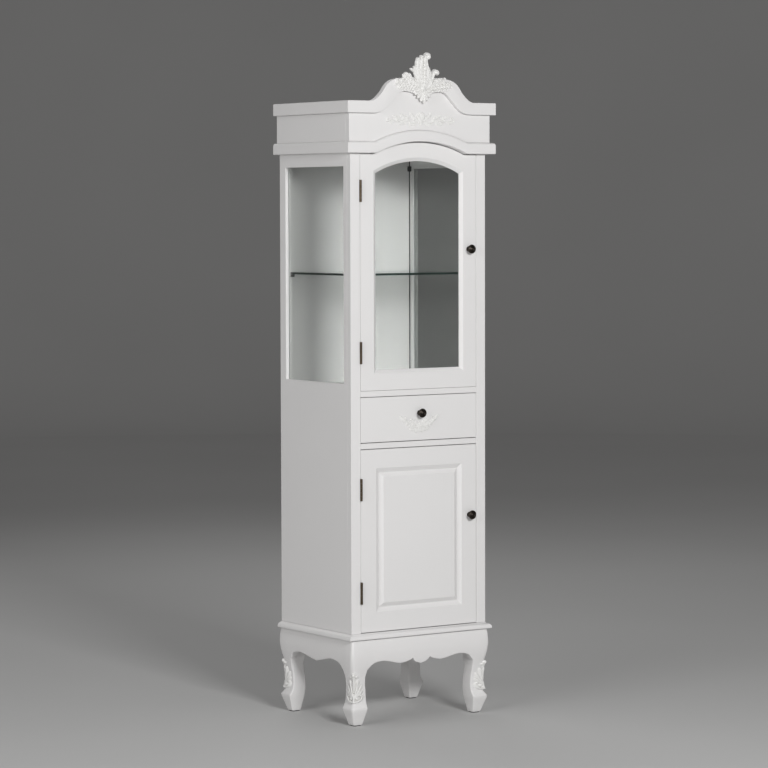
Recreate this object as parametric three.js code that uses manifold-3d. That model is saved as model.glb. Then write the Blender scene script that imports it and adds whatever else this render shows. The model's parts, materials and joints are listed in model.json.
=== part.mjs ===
// Narrow French-style curio cabinet: arched glass door above, drawer in the
// middle, panelled door below, bombe base with four carved cabriole legs.
// Millimetres, +Z up. The front faces -Y. Built about the middle of the
// carcass, then moved so that the origin is the bottom centre of its box.

import * as THREE from "three";
import { mergeVertices } from "three/addons/utils/BufferGeometryUtils.js";
import Module from "manifold-3d";

const wasm = await Module();
wasm.setup();

// ---------------------------------------------------------------- sizes

const GAP = 0.3;                 // between pieces that touch on the real object
const BOARD = 18;                // carcass boards
const HALF_WIDTH = 228.6;        // carcass, to each side of the middle
const HALF_DEPTH = 180.2;        // carcass, to the front and the back of the middle
const FRONT = -HALF_DEPTH;
const BACK = HALF_DEPTH;
const INNER_X = HALF_WIDTH - BOARD;
const BACK_PANEL = 12;
const BACK_PANEL_GAP = 2.2;      // shadow gap down each side of the back panel

const MOULDING_BOTTOM = 241.1;   // underside of the base moulding
const BODY_BOTTOM = 257.6;
const NECK_BOTTOM = 1584.3;      // moulding under the frieze
const NECK_HEIGHT = 31.7;
const CORNICE_BOTTOM = 1693.7;
const CORNICE_TOP = 1727;
const CORNICE_OVERHANG = 21.4;
const FRIEZE_OVERHANG = 9.1;
const BASE_OVERHANG = 13.5;

const ARCH_HALF = 153.5;         // arch over the upper door
const ARCH_RISE = 33.1;

const STILE_EDGE = 197.2;        // inner edge of the face frame
const DOOR_LEFT = -196.5;         // edge by the hinges
const DOOR_RIGHT = 195.8;        // closing edge, which swings out past its own line
const DOOR_THICK = 22;
const DOOR_BACK = FRONT + DOOR_THICK;
const LOWER_DOOR_BOTTOM = 260;
const LOWER_DOOR_TOP = 767;
const LOWER_DECK = [768.9, 784.6];
const UPPER_DECK = [912.8, 929.2];
const UPPER_DOOR_BOTTOM = 930;
const UPPER_DOOR_CLEARANCE = 2.4;

const LEG_X = 202.8;             // leg centres
const LEG_FRONT_Y = -159.3;
const LEG_REAR_Y = 155;
const LEG_BULGE = 32.2;          // most that a leg or apron stands out from the leg centres
const LEG_INNER_TOP = 22.8;      // leg block behind the apron ends

const CREST_THICK = 14;
const CREST_FRONT = FRONT - CORNICE_OVERHANG - GAP - CREST_THICK;
const ORIGIN_SHIFT = -(CREST_FRONT + LEG_REAR_Y + LEG_BULGE) / 2;

// Knuckle axis and sizes; leaf is a leaf's thickness and depth its reach behind the front.
const HINGE = {
  x: -196.8, y: FRONT - 3.7, radius: 3.2, length: 61, leaf: 1, depth: 14.5, pin: 1.5,
};
const UPPER_HINGES = [1035, 1480.5];
const LOWER_HINGES = [370, 657];

// ------------------------------------------------------------ materials

function finish(color, roughness, metalness = 0) {
  return new THREE.MeshStandardMaterial({ color, roughness, metalness });
}

const whitePaint = finish(0xe6e5e4, 0.45);
const carvedPaint = finish(0xebebe7, 0.5);
const drawerBoard = finish(0xdedcd8, 0.6);
const clearGlass = finish(0xcfdcd6, 0.05);
clearGlass.transparent = true;
clearGlass.opacity = 0.3;
const agedBronze = finish(0x2b2624, 0.35, 0.9);
const antiqueBrass = finish(0x8b7a5a, 0.4, 0.9);
const blackPlastic = finish(0x1b1b1c, 0.5);

// -------------------------------------------------------------- helpers

const cabinet = new THREE.Group();

function add(name, geometry, material) {
  const mesh = new THREE.Mesh(geometry, material);
  mesh.name = name;
  cabinet.add(mesh);
  return mesh;
}

// A box between two values on each axis.
function box(x, y, z) {
  const geometry = new THREE.BoxGeometry(x[1] - x[0], y[1] - y[0], z[1] - z[0]);
  return geometry.translate((x[0] + x[1]) / 2, (y[0] + y[1]) / 2, (z[0] + z[1]) / 2);
}

function solid(geometry) {
  const bare = geometry.clone();
  bare.deleteAttribute("normal");
  bare.deleteAttribute("uv");
  const merged = mergeVertices(bare, 1e-4);
  return new wasm.Manifold(new wasm.Mesh({
    numProp: 3,
    vertProperties: new Float32Array(merged.attributes.position.array),
    triVerts: new Uint32Array(merged.index.array),
  }));
}

function geometryOf(manifold) {
  const mesh = manifold.getMesh();
  const geometry = new THREE.BufferGeometry();
  geometry.setAttribute("position", new THREE.BufferAttribute(mesh.vertProperties, 3));
  geometry.setIndex(new THREE.BufferAttribute(mesh.triVerts, 1));
  geometry.computeVertexNormals();
  return geometry;
}

function join(...geometries) {
  return geometryOf(geometries.map(solid).reduce((whole, piece) => whole.add(piece)));
}

function cut(geometry, ...cutters) {
  const rest = (whole, cutter) => whole.subtract(solid(cutter));
  return geometryOf(cutters.reduce(rest, solid(geometry)));
}

function shapeOf(points) {
  return new THREE.Shape(points.map(([x, y]) => new THREE.Vector2(x, y)));
}

// A shape drawn in X and Z, with its front at y and its back at y + depth.
function plate(shape, y, depth, options = {}) {
  const settings = { depth, bevelEnabled: false, curveSegments: 12, ...options };
  const geometry = new THREE.ExtrudeGeometry(shape, settings);
  return geometry.rotateX(Math.PI / 2).translate(0, y + depth, 0);
}

// Carries a closed profile along a list of stations. place(a, b, station)
// says where the profile point (a, b) goes at that station.
function sweep(profile, stations, place) {
  const steps = stations.length - 1;
  const geometry = new THREE.ExtrudeGeometry(shapeOf(profile), {
    depth: steps, steps, bevelEnabled: false,
  });
  const position = geometry.attributes.position;
  for (let i = 0; i < position.count; i += 1) {
    const station = stations[Math.round(position.getZ(i))];
    position.setXYZ(i, ...place(position.getX(i), position.getY(i), station));
  }
  geometry.computeVertexNormals();
  return geometry;
}

// A smooth curve through [position, value] knots that never overshoots them.
function smooth(knots) {
  const steps = knots.slice(1).map(([x, y], i) => (y - knots[i][1]) / (x - knots[i][0]));
  const slopes = knots.map((_, i) => {
    const before = steps[i - 1] ?? steps[i];
    const after = steps[i] ?? steps[i - 1];
    return before * after > 0 ? (2 * before * after) / (before + after) : 0;
  });
  return (at) => {
    const next = knots.findIndex(([x]) => x > at);
    const k = next < 0 ? knots.length - 2 : Math.max(0, next - 1);
    const [[x0, y0], [x1, y1]] = [knots[k], knots[k + 1]];
    const width = x1 - x0;
    const t = Math.min(1, Math.max(0, (at - x0) / width));
    return y0 * (1 + 2 * t) * (1 - t) ** 2 + y1 * t * t * (3 - 2 * t)
      + width * (slopes[k] * t * (1 - t) ** 2 - slopes[k + 1] * t * t * (1 - t));
  };
}

function evenly(from, to, count) {
  return Array.from({ length: count + 1 }, (_, i) => from + ((to - from) * i) / count);
}

// Height of a circular arc above its chord.
function arcRise(x, half, rise) {
  if (Math.abs(x) >= half) return 0;
  const radius = (half * half + rise * rise) / (2 * rise);
  return Math.sqrt(radius * radius - x * x) - (radius - rise);
}

const archRise = (x) => arcRise(x, ARCH_HALF, ARCH_RISE);

// --------------------------------------------------- legs and base frame

// How far the leg stands out from its centre line towards the outside, and
// towards the inside, at each height.
const legOut = smooth([
  [0, 14.2], [24, 22], [46, 29], [52, 27.8], [64, 21], [82, 17.6], [105, 17.6],
  [130, 21], [150, 24.6], [165, 28.2], [182, 31], [200, LEG_BULGE], [219, 31], [242, 27],
]);
const legIn = smooth([
  [0, 13.8], [26, 18.4], [50, 23], [75, 24.6], [95, 24], [115, 21.8], [137, 20.2],
  [150, 21.2], [160, LEG_INNER_TOP], [242, LEG_INNER_TOP],
]);
const LEG_TOP = MOULDING_BOTTOM - GAP;
const LEG_LEVELS = [
  0, 24, 46, 52, 64, 82, 105, 118, 130, 141, 150, 157, 165, 174, 182, 200, 219, 230, LEG_TOP,
];
const LEG_CHAMFER = 0.14;

// side is -1 left or 1 right, end is -1 front or 1 rear.
function leg(side, end) {
  const near = 1 - LEG_CHAMFER;
  const outline = [
    [-near, -1], [near, -1], [1, -near], [1, near],
    [near, 1], [-near, 1], [-1, near], [-1, -near],
  ];
  const centreY = end < 0 ? LEG_FRONT_Y : LEG_REAR_Y;
  const reach = (value, outward, z) => value * (value * outward > 0 ? legOut(z) : legIn(z));
  return sweep(outline, LEG_LEVELS, (a, b, z) => [
    side * LEG_X + reach(a, side, z), centreY + reach(b, end, z), z,
  ]);
}

for (const [endName, end] of [["front", -1], ["rear", 1]]) {
  for (const [sideName, side] of [["left", -1], ["right", 1]]) {
    add(`leg_${endName}_${sideName}`, leg(side, end), whitePaint);
  }
}

const APRON_THICK = 20;
const APRON_ROWS = 4;
const CUSP = 28.5;
const middleLobe = smooth([[0, 160.7], [15, 165], [25, 172], [CUSP, 177.5]]);
const sideLobes = smooth([
  [CUSP, 177.5], [39, 172.5], [52, 169], [68, 167], [84, 169], [104, 174], [132, 178],
  [150, 176], [166, 169.5], [180, 155],
]);
const frontScallop = (x) => (x < CUSP ? middleLobe(x) : sideLobes(x));
const sideScallop = smooth([
  [0, 165.5], [17, 168.4], [38, 173], [60, 177.6], [82, 180.4], [108, 177],
  [124, 169], [132, 157],
]);

// A bowed board whose face follows the legs and whose lower edge is scalloped.
function apron(stations, scallop, place) {
  const rows = evenly(0, 1, APRON_ROWS);
  const profile = [
    ...rows.map((row) => [0, row]),
    ...rows.toReversed().map((row) => [APRON_THICK, row]),
  ];
  return sweep(profile, stations, (inset, row, along) => {
    const low = scallop(Math.abs(along));
    const z = low + (LEG_TOP - low) * row;
    return place(legOut(z) - inset, along, z);
  });
}

const frontReach = LEG_X - LEG_INNER_TOP - GAP;
const sideMiddle = (LEG_FRONT_Y + LEG_REAR_Y) / 2;
const sideReach = (LEG_REAR_Y - LEG_FRONT_Y) / 2 - LEG_INNER_TOP - GAP;
const frontHalf = [...evenly(0, CUSP, 4), ...evenly(CUSP, frontReach, 12).slice(1)];
const frontStations = [...frontHalf.toReversed().slice(0, -1).map((x) => -x), ...frontHalf];
const sideStations = evenly(-sideReach, sideReach, 24);

// The rear apron is nearly straight and drops only beside the legs.
const REAR_EDGE = 178;
const REAR_DROP = 22;
const rearEdge = (x) => REAR_EDGE - REAR_DROP * (x / frontReach) ** 6;

add("apron_front", apron(frontStations, frontScallop,
  (out, along, z) => [along, LEG_FRONT_Y - out, z]), whitePaint);
add("apron_rear", apron(evenly(-frontReach, frontReach, 16), rearEdge,
  (out, along, z) => [-along, LEG_REAR_Y + out, z]), whitePaint);
add("apron_left", apron(sideStations, sideScallop,
  (out, along, z) => [-LEG_X - out, sideMiddle - along, z]), whitePaint);
add("apron_right", apron(sideStations, sideScallop,
  (out, along, z) => [LEG_X + out, sideMiddle + along, z]), whitePaint);

// ------------------------------------------------------------- mouldings

// Three mitred bars round the front and both sides. Profile points are
// [outward from the inner edge, height]; height(up, x) places them on the front
// bar, so that it can follow an arch.
const RUN_INNER_Y = FRONT + BOARD;

function frontBar(profile, innerX, innerY, stations, height) {
  return sweep(profile, stations, (out, up, x) => {
    const edge = Math.abs(x) > innerX ? Math.sign(x) * (innerX + out) : x;
    return [-edge, innerY - out, height(up, x)];
  });
}

function sideBar(profile, side, innerX, innerY, bottom, mitreGap = 0) {
  const along = side < 0 ? [0, 1] : [1, 0];
  return sweep(profile, along, (out, up, end) => [
    side * (innerX + out), end ? BACK : innerY - out + mitreGap, bottom + up,
  ]);
}

const ARCH_STATIONS = evenly(-ARCH_HALF, ARCH_HALF, 34);
const PEDIMENT_HALF = 171;       // where the pediment band becomes level
const BEYOND_ARCH = (ARCH_HALF + PEDIMENT_HALF) / 2;

function archedStations(end) {
  return [
    -end, -PEDIMENT_HALF, -BEYOND_ARCH, ...ARCH_STATIONS, BEYOND_ARCH, PEDIMENT_HALF, end,
  ];
}

const baseDepth = BOARD + BASE_OVERHANG;
const baseHeight = BODY_BOTTOM - MOULDING_BOTTOM;
const baseProfile = [
  [0, 0], [baseDepth - 2, 0], [baseDepth - 0.5, 0.7], [baseDepth, 2.2], [baseDepth, 9],
  [baseDepth - 2, 12], [baseDepth - 6, 14], [baseDepth - 11.5, 15], [BOARD, baseHeight],
  [0, baseHeight],
];
const flat = (bottom) => (up) => bottom + up;
const bothEnds = (x) => [-x - 1, x + 1];
add("base_moulding", join(
  frontBar(baseProfile, INNER_X, RUN_INNER_Y, bothEnds(INNER_X), flat(MOULDING_BOTTOM)),
  sideBar(baseProfile, -1, INNER_X, RUN_INNER_Y, MOULDING_BOTTOM),
  sideBar(baseProfile, 1, INNER_X, RUN_INNER_Y, MOULDING_BOTTOM),
), whitePaint);

const neckDepth = BOARD + CORNICE_OVERHANG;
const neckProfile = [
  [0, 0], [neckDepth - 2, 0], [neckDepth, 2], [neckDepth, 24], [neckDepth - 1.6, 27.6],
  [neckDepth - 5, 30.4], [neckDepth - 12.3, NECK_HEIGHT], [0, NECK_HEIGHT],
];
add("neck_moulding", join(
  frontBar(neckProfile, INNER_X, RUN_INNER_Y, archedStations(INNER_X + 1),
    (up, x) => NECK_BOTTOM + up + archRise(x)),
  sideBar(neckProfile, -1, INNER_X, RUN_INNER_Y, NECK_BOTTOM),
  sideBar(neckProfile, 1, INNER_X, RUN_INNER_Y, NECK_BOTTOM),
), whitePaint);

// Edges of the swan-neck pediment band, by distance from the middle.
const pedimentLower = smooth([
  [0, 1744], [18, 1747], [36, 1752], [58, 1755.3], [74, 1752.4], [84, 1746.4], [98, 1731.5],
  [111, 1718], [127, 1704], [140, 1697.6], [156, 1694.2], [PEDIMENT_HALF, CORNICE_BOTTOM],
]);
const pedimentUpper = smooth([
  [0, 1792], [40, 1793], [66, 1792], [82, 1789.6], [95, 1786.6], [107, 1780], [118, 1770],
  [129, 1754.6], [144, 1739.6], [156, 1731.5], [PEDIMENT_HALF, CORNICE_TOP],
]);
const bandEdge = (curve, level) => (x) => (
  Math.abs(x) < PEDIMENT_HALF ? curve(Math.abs(x)) : level
);
const bandLower = bandEdge(pedimentLower, CORNICE_BOTTOM);
const bandUpper = bandEdge(pedimentUpper, CORNICE_TOP);

const FRIEZE_FACE = FRONT - FRIEZE_OVERHANG;
const FRIEZE_BACK = FRIEZE_FACE + BOARD;
const friezeHalf = HALF_WIDTH + FRIEZE_OVERHANG;
const NECK_TOP = NECK_BOTTOM + NECK_HEIGHT;
const friezeOutline = [[0, 0], [BOARD, 0], [BOARD, 1], [0, 1]];
add("frieze_front", sweep(friezeOutline, archedStations(friezeHalf), (out, up, x) => {
  const low = NECK_TOP + GAP + archRise(x);
  const high = bandLower(x) - GAP;
  return [-x, FRIEZE_BACK - out, low + (high - low) * up];
}), whitePaint);

const CORNICE = {
  innerX: friezeHalf - BOARD,
  innerY: FRIEZE_BACK,
  depth: BOARD - FRIEZE_OVERHANG + CORNICE_OVERHANG,
  height: CORNICE_TOP - CORNICE_BOTTOM,
};
const EASED = 1.4;               // small chamfer on the cornice edges
const corniceProfile = [
  [0, 0], [CORNICE.depth - EASED, 0], [CORNICE.depth, EASED],
  [CORNICE.depth, CORNICE.height - EASED],
  [CORNICE.depth - EASED, CORNICE.height], [0, CORNICE.height],
];
add("cornice_front", frontBar(corniceProfile, CORNICE.innerX, CORNICE.innerY,
  archedStations(CORNICE.innerX + 1), (up, x) => {
    const low = bandLower(x);
    return low + ((bandUpper(x) - low) * up) / CORNICE.height;
  }), whitePaint);

for (const [name, side] of [["left", -1], ["right", 1]]) {
  const inner = CORNICE.innerX;
  const friezeX = [inner, friezeHalf].map((x) => x * side).sort((a, b) => a - b);
  add(`frieze_${name}`, box(friezeX, [FRIEZE_BACK + GAP, BACK],
    [NECK_TOP + GAP, CORNICE_BOTTOM - GAP]), whitePaint);
  add(`cornice_${name}`, sideBar(corniceProfile, side, inner, CORNICE.innerY,
    CORNICE_BOTTOM, 1.5 * GAP), whitePaint);
}

// --------------------------------------------------------------- carcass

const INSIDE = [-INNER_X + GAP, INNER_X - GAP];
const INSIDE_BACK = BACK - BACK_PANEL - GAP;
const CARCASS_FRONT = RUN_INNER_Y + GAP;
const COVER_BOTTOM = CORNICE_TOP - BOARD;

const WINDOW = { y: [-144.8, 150], z: [950, 1548], lip: 10, rebate: 7, glass: 4 };
const grown = ([low, high], by) => [low - by, high + by];
const ordered = (a, b) => [Math.min(a, b), Math.max(a, b)];

for (const [name, side] of [["left", -1], ["right", 1]]) {
  const layer = (from, to) => ordered(side * (HALF_WIDTH - from), side * (HALF_WIDTH - to));
  const paneY = grown(WINDOW.y, WINDOW.rebate - GAP);
  const paneZ = grown(WINDOW.z, WINDOW.rebate - GAP);
  const rebateY = grown(WINDOW.y, WINDOW.rebate);
  const rebateZ = grown(WINDOW.z, WINDOW.rebate);
  add(`side_panel_${name}`, cut(
    box(layer(0, BOARD), [CARCASS_FRONT, BACK], [BODY_BOTTOM + GAP, NECK_BOTTOM - GAP]),
    box(layer(-1, BOARD + 1), WINDOW.y, WINDOW.z),
    box(layer(WINDOW.lip, BOARD + 1), rebateY, rebateZ),
  ), whitePaint);
  const paneFront = WINDOW.lip + GAP;
  const paneBack = paneFront + WINDOW.glass;
  add(`side_glass_${name}`, box(layer(paneFront, paneBack), paneY, paneZ), clearGlass);
  add(`side_bead_${name}`, cut(
    box(layer(paneBack + GAP, BOARD), paneY, paneZ),
    box(layer(paneBack - 1, BOARD + 1), WINDOW.y, WINDOW.z),
  ), whitePaint);
}

add("back_panel", box([-INNER_X + BACK_PANEL_GAP, INNER_X - BACK_PANEL_GAP],
  [BACK - BACK_PANEL, BACK],
  [BODY_BOTTOM + GAP, COVER_BOTTOM - GAP]), whitePaint);
add("bottom_panel", box(INSIDE, [CARCASS_FRONT, BACK],
  [MOULDING_BOTTOM, BODY_BOTTOM]), whitePaint);
add("top_panel", box(INSIDE, [DOOR_BACK + 1, INSIDE_BACK],
  [NECK_TOP - BOARD, NECK_TOP]), whitePaint);
add("crown_cover", box([-CORNICE.innerX + GAP, CORNICE.innerX - GAP],
  [FRIEZE_BACK + GAP, BACK], [COVER_BOTTOM, CORNICE_TOP]), whitePaint);

// Shallow recesses in an edge for the hinge leaves. inward points into the wood.
function hingeMortises(heights, edge, inward) {
  const half = HINGE.length / 2 + GAP;
  return heights.map((z) => box(
    ordered(edge - inward, edge + inward * (HINGE.leaf + GAP)),
    [FRONT - 1, FRONT + HINGE.depth + GAP], [z - half, z + half],
  ));
}

const stileZ = [BODY_BOTTOM + GAP, NECK_BOTTOM - GAP];
add("face_stile_left", cut(
  box([-HALF_WIDTH, -STILE_EDGE], [FRONT, RUN_INNER_Y], stileZ),
  ...hingeMortises([...LOWER_HINGES, ...UPPER_HINGES], -STILE_EDGE, -1),
), whitePaint);
add("face_stile_right", box([STILE_EDGE, HALF_WIDTH], [FRONT, RUN_INNER_Y], stileZ), whitePaint);

// The decks' front edges are the two rails of the face frame.
function deckBoard([low, high]) {
  return join(
    box(INSIDE, [CARCASS_FRONT, INSIDE_BACK], [low, high]),
    box([-STILE_EDGE + GAP, STILE_EDGE - GAP], [FRONT, CARCASS_FRONT + 1], [low, high]),
  );
}

const DRAWER_HALF = 191;
const DRAWER_END = 140;
const GUIDE_HEIGHT = 20;
const guide = (side) => box(
  ordered(side * (DRAWER_HALF + 1), side * (INNER_X - GAP)), [DOOR_BACK + 1, DRAWER_END],
  [LOWER_DECK[1] - 1, LOWER_DECK[1] + GUIDE_HEIGHT],
);
add("drawer_top_deck", deckBoard(UPPER_DECK), whitePaint);
add("drawer_bottom_deck", join(deckBoard(LOWER_DECK), guide(-1), guide(1)), whitePaint);

// -------------------------------------------------------------- interior

const SHELF = { z: [1247, 1253], y: [-156, 158], half: 208 };
const PIN = { radius: 4, length: 14 };
add("glass_shelf", box([-SHELF.half, SHELF.half], SHELF.y, SHELF.z), clearGlass);
for (const [endName, y] of [["front", -150.5], ["rear", 154]]) {
  for (const [sideName, side] of [["left", -1], ["right", 1]]) {
    const support = new THREE.CylinderGeometry(PIN.radius, PIN.radius, PIN.length, 16);
    support.rotateZ(Math.PI / 2);
    support.translate(side * (INNER_X - GAP - PIN.length / 2), y, SHELF.z[0] - GAP - PIN.radius);
    add(`shelf_support_${endName}_${sideName}`, support, blackPlastic);
  }
}

// Magnetic catches hang from the board above each door, with a slot in the front.
const CATCH = { x: [150, 190], slotX: [160, 180], depth: 15, height: 14, slot: 3, roof: 4.7 };

function doorCatch(top) {
  return cut(
    box(CATCH.x, [DOOR_BACK + GAP, DOOR_BACK + GAP + CATCH.depth], [top - CATCH.height, top]),
    box(CATCH.slotX, [DOOR_BACK - 1, DOOR_BACK + CATCH.slot],
      [top - CATCH.height - 1, top - CATCH.roof]),
  );
}

add("upper_catch", doorCatch(NECK_TOP - BOARD - GAP), blackPlastic);
add("lower_catch", doorCatch(LOWER_DECK[0] - GAP), blackPlastic);

// ----------------------------------------------------------------- doors

function rectangle([x0, x1], [z0, z1]) {
  return shapeOf([[x0, z0], [x1, z0], [x1, z1], [x0, z1]]);
}

// Straight sides and bottom with a circular arch on top. Where the sides stand
// wider than half, a level shoulder lies on each side of the arch.
function archedOutline(half, bottom, spring, rise, sides = [-half, half]) {
  const top = evenly(-half, half, 24).toReversed();
  const arch = top.map((x) => [x, spring + arcRise(x, half, rise)]);
  const shoulders = sides[1] > half ? sides.map((x) => [x, spring]) : [];
  return shapeOf([
    [sides[0], bottom], [sides[1], bottom], ...shoulders.slice(1), ...arch,
    ...shoulders.slice(0, 1),
  ]);
}

// Cuts an opening through a door: chamfered in front, rebated behind.
function opening(door, inner, rebated, [width, depth], lip) {
  const flare = plate(inner, FRONT - 1, 1, {
    bevelEnabled: true, bevelThickness: depth, bevelSize: width, bevelSegments: 1,
  });
  return cut(
    door,
    plate(inner, FRONT - 1, DOOR_THICK + 2),
    plate(rebated, FRONT + lip, DOOR_THICK),
    flare,
  );
}

const GLAZED = {
  half: 141.7, bottom: 987, spring: 1529.5, rise: 33.9, chamfer: [10, 7], lip: 7.6, rebate: 7,
  glass: 4,
};
const upperSlab = plate(archedOutline(ARCH_HALF, UPPER_DOOR_BOTTOM,
  NECK_BOTTOM - UPPER_DOOR_CLEARANCE, ARCH_RISE, [DOOR_LEFT, DOOR_RIGHT]), FRONT, DOOR_THICK);
const glazedOutline = (grow) => archedOutline(GLAZED.half + grow, GLAZED.bottom - grow,
  GLAZED.spring, GLAZED.rise + grow);
add("upper_door_frame", cut(
  opening(upperSlab, glazedOutline(0), glazedOutline(GLAZED.rebate), GLAZED.chamfer, GLAZED.lip),
  ...hingeMortises(UPPER_HINGES, DOOR_LEFT, 1),
), whitePaint);
add("upper_door_glass", plate(glazedOutline(GLAZED.rebate - GAP),
  FRONT + GLAZED.lip + GAP, GLAZED.glass), clearGlass);

const PANEL = { half: 133.5, z: [326.5, 702.5], chamfer: [12, 7], tongue: 7, thick: 7 };
const lowerSlab = box([DOOR_LEFT, DOOR_RIGHT], [FRONT, DOOR_BACK],
  [LOWER_DOOR_BOTTOM, LOWER_DOOR_TOP]);
const panelOutline = (grow) => rectangle([-PANEL.half - grow, PANEL.half + grow],
  grown(PANEL.z, grow));
add("lower_door_frame", cut(
  opening(lowerSlab, panelOutline(0), panelOutline(PANEL.tongue), PANEL.chamfer, PANEL.chamfer[1]),
  ...hingeMortises(LOWER_HINGES, DOOR_LEFT, 1),
), whitePaint);

// The raised field slopes up from the tongue to the face of the frame.
const tongueFront = FRONT + PANEL.chamfer[1] + GAP;
const field = sweep([[-1, -1], [1, -1], [1, 1], [-1, 1]], [0, 1], (a, b, front) => {
  const grow = front ? -PANEL.chamfer[0] - GAP : -GAP;
  const middle = (PANEL.z[0] + PANEL.z[1]) / 2;
  const halfHeight = (PANEL.z[1] - PANEL.z[0]) / 2;
  const y = front ? FRONT : tongueFront + 1;
  return [a * (PANEL.half + grow), y, middle + b * (halfHeight + grow)];
});
add("lower_door_panel", join(
  plate(panelOutline(PANEL.tongue - GAP), tongueFront, PANEL.thick), field,
), whitePaint);

// ---------------------------------------------------------------- drawer

const FRONT_HALF = 196.3;
const FRONT_Z = [786.6, 911.2];
const DRAWER_WALL = 12;
const DRAWER_TOP = 895;
const DRAWER_BOTTOM = [790, 796];
const drawerZ = [FRONT_Z[0], DRAWER_TOP];
const drawerBay = DRAWER_HALF - DRAWER_WALL - GAP;
add("drawer_front", box([-FRONT_HALF, FRONT_HALF], [FRONT, DOOR_BACK], FRONT_Z), whitePaint);
for (const [name, side] of [["left", -1], ["right", 1]]) {
  add(`drawer_side_${name}`, box(
    ordered(side * DRAWER_HALF, side * (DRAWER_HALF - DRAWER_WALL)),
    [DOOR_BACK + GAP, DRAWER_END], drawerZ), drawerBoard);
}
add("drawer_back", box([-drawerBay, drawerBay], [DRAWER_END - DRAWER_WALL, DRAWER_END],
  drawerZ), drawerBoard);
add("drawer_bottom", box([-drawerBay, drawerBay],
  [DOOR_BACK + GAP, DRAWER_END - DRAWER_WALL - GAP], DRAWER_BOTTOM), drawerBoard);

// ----------------------------------------------------------------- knobs

const KNOB_PROFILE = [
  [0, 0], [6.5, 0], [6.5, 2], [4, 4], [4, 9], [8, 12], [12.3, 14], [12.8, 16.6],
  [11.6, 19.4], [9.4, 20.6], [8.4, 19.6], [5.6, 19.8], [4.6, 20.8], [0, 21.2],
];

function knob(x, z) {
  const points = KNOB_PROFILE.map(([radius, height]) => new THREE.Vector2(radius, height));
  const geometry = new THREE.LatheGeometry(points, 18);
  return geometry.rotateX(Math.PI).translate(x, FRONT - GAP, z);
}

add("upper_door_knob", knob(170, 1318), agedBronze);
add("lower_door_knob", knob(171, 568.5), agedBronze);
add("drawer_knob", knob(0, 863), agedBronze);

// ---------------------------------------------------------------- hinges

const KNUCKLES = 5;
const KNUCKLE_PITCH = HINGE.length / KNUCKLES;
const PIN_CLEARANCE = 0.25;
const EVEN_KNUCKLES = [0, 2, 4];
const ODD_KNUCKLES = [1, 3];

// A round bar on the hinge axis.
function hingeBar(radius, length, middle) {
  const bar = new THREE.CylinderGeometry(radius, radius, length, 16);
  return bar.rotateX(Math.PI / 2).translate(HINGE.x, HINGE.y, middle);
}

// Butt hinge with leaves flush in their edges: the frame leaf carries three
// knuckles and the pin, the door leaf two.
function hinge(name, middle) {
  const z = [middle - HINGE.length / 2, middle + HINGE.length / 2];
  const leafY = [HINGE.y, FRONT + HINGE.depth];
  const knuckle = (index) => hingeBar(HINGE.radius, KNUCKLE_PITCH - GAP,
    z[0] + (index + 0.5) * KNUCKLE_PITCH);
  const clear = (index) => box(
    grown([HINGE.x, HINGE.x], HINGE.radius + 1),
    [HINGE.y - HINGE.radius - 1, HINGE.y + HINGE.radius + PIN_CLEARANCE],
    grown([z[0] + index * KNUCKLE_PITCH, z[0] + (index + 1) * KNUCKLE_PITCH], GAP / 2),
  );
  const frameLeaf = box([-STILE_EDGE - HINGE.leaf, -STILE_EDGE], leafY, z);
  const doorLeaf = box([DOOR_LEFT, DOOR_LEFT + HINGE.leaf], leafY, z);
  add(`${name}_frame_leaf`, join(
    cut(frameLeaf, ...ODD_KNUCKLES.map(clear)),
    ...EVEN_KNUCKLES.map(knuckle),
    hingeBar(HINGE.pin, HINGE.length - 1, middle),
  ), antiqueBrass);
  add(`${name}_door_leaf`, cut(
    join(cut(doorLeaf, ...EVEN_KNUCKLES.map(clear)), ...ODD_KNUCKLES.map(knuckle)),
    hingeBar(HINGE.pin + PIN_CLEARANCE, HINGE.length + 4, middle),
  ), antiqueBrass);
}

hinge("upper_hinge_bottom", UPPER_HINGES[0]);
hinge("upper_hinge_top", UPPER_HINGES[1]);
hinge("lower_hinge_bottom", LOWER_HINGES[0]);
hinge("lower_hinge_top", LOWER_HINGES[1]);

// -------------------------------------------------------------- carvings

// The outer shape of an applied carving, as a closed curve through its points.
function carving(points, y, depth) {
  const shape = new THREE.Shape();
  const [first, ...rest] = points.map(([x, z]) => new THREE.Vector2(x, z));
  shape.moveTo(first.x, first.y);
  shape.splineThru([...rest, first]);
  return plate(shape, y, depth, { curveSegments: 2 });
}

// Leafy crest, taller to the left of the middle, its top curl leaning right.
const CREST = [
  [-2, 1719], [6, 1725], [14, 1735], [26, 1744], [48, 1751], [78, 1756], [103, 1768],
  [93, 1784], [72, 1789], [56, 1796], [37, 1794], [36, 1800], [46, 1803], [51, 1811],
  [41, 1820], [27, 1818], [19, 1824], [12, 1838], [23, 1850], [14, 1863], [-5, 1862],
  [-24, 1853], [-33, 1837], [-39, 1824], [-51, 1818], [-45, 1808], [-57, 1810],
  [-68, 1807], [-73, 1797], [-92, 1788], [-97, 1776], [-84, 1758], [-58, 1752],
  [-34, 1741], [-20, 1729],
];
add("crest_carving", carving(CREST, CREST_FRONT, CREST_THICK), carvedPaint);

const GARLAND_THICK = 6;
const mirrored = (half) => [
  ...half, ...half.toReversed().slice(1, -1).map(([x, z]) => [-x, z]),
];
const FRIEZE_GARLAND = mirrored([
  [0, 1661], [24, 1663], [50, 1672], [78, 1666], [104, 1668], [121, 1679], [106, 1689],
  [84, 1684], [60, 1690], [38, 1684], [20, 1698], [0, 1702],
]);
add("frieze_garland", carving(FRIEZE_GARLAND, FRIEZE_FACE - GAP - GARLAND_THICK,
  GARLAND_THICK), carvedPaint);

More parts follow.
